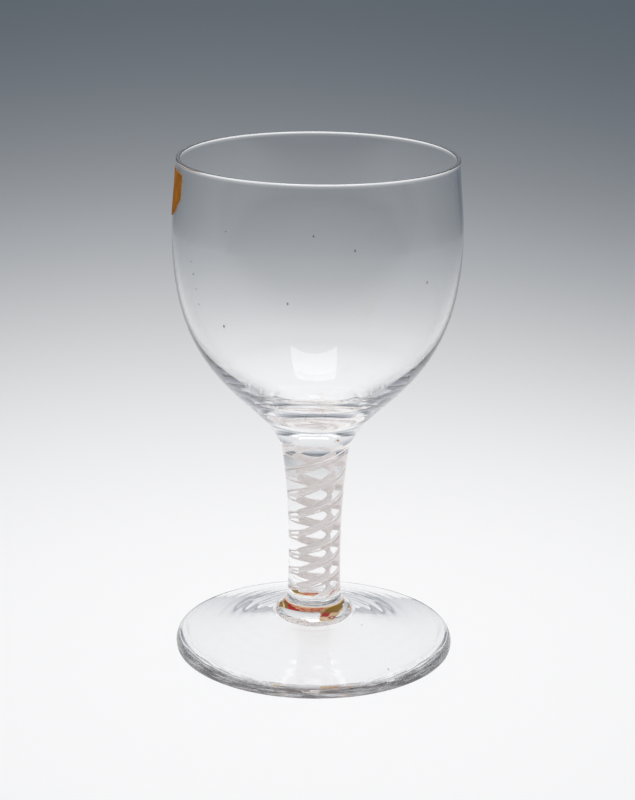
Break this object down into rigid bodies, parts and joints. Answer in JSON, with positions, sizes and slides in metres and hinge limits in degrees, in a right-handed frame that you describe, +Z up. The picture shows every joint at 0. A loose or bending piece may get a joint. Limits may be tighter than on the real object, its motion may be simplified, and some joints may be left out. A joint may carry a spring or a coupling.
{
  "type": "rummer",
  "caption": "Stemmed drinking glass with a wide round bowl, a stem with a white enamel twist, a conical foot and two paper labels.",
  "frame": {"origin": "centre of the foot's resting ring, on the surface the glass stands on", "axes": "+Z up along the glass's axis, -Y towards the side the picture shows, -X towards the label on the bowl"},
  "size_m": [0.0846, 0.0842, 0.15],
  "materials": {
    "foot_glass": "clear lead glass, fire polished, with fine tool marks",
    "stem_glass": "clear lead glass, fire polished",
    "bowl_glass": "clear lead glass, fire polished, with a few seeds",
    "white_enamel": "opaque white glass, set inside the clear stem",
    "bowl_label_paper": "ochre paper, torn along its lower edge",
    "foot_label_paper": "printed paper in cream, red and ochre, with no lettering"
  },
  "bodies": {
    "root": {"foot": "foot_glass", "foot_label": "foot_label_paper", "stem_glass": "stem_glass", "enamel_inner_tape_1": "white_enamel", "enamel_inner_tape_2": "white_enamel", "enamel_outer_tape_1": "white_enamel", "enamel_outer_tape_2": "white_enamel", "enamel_outer_tape_3": "white_enamel", "enamel_outer_tape_4": "white_enamel", "bowl": "bowl_glass", "bowl_label": "bowl_label_paper"}
  },
  "joints": []
}
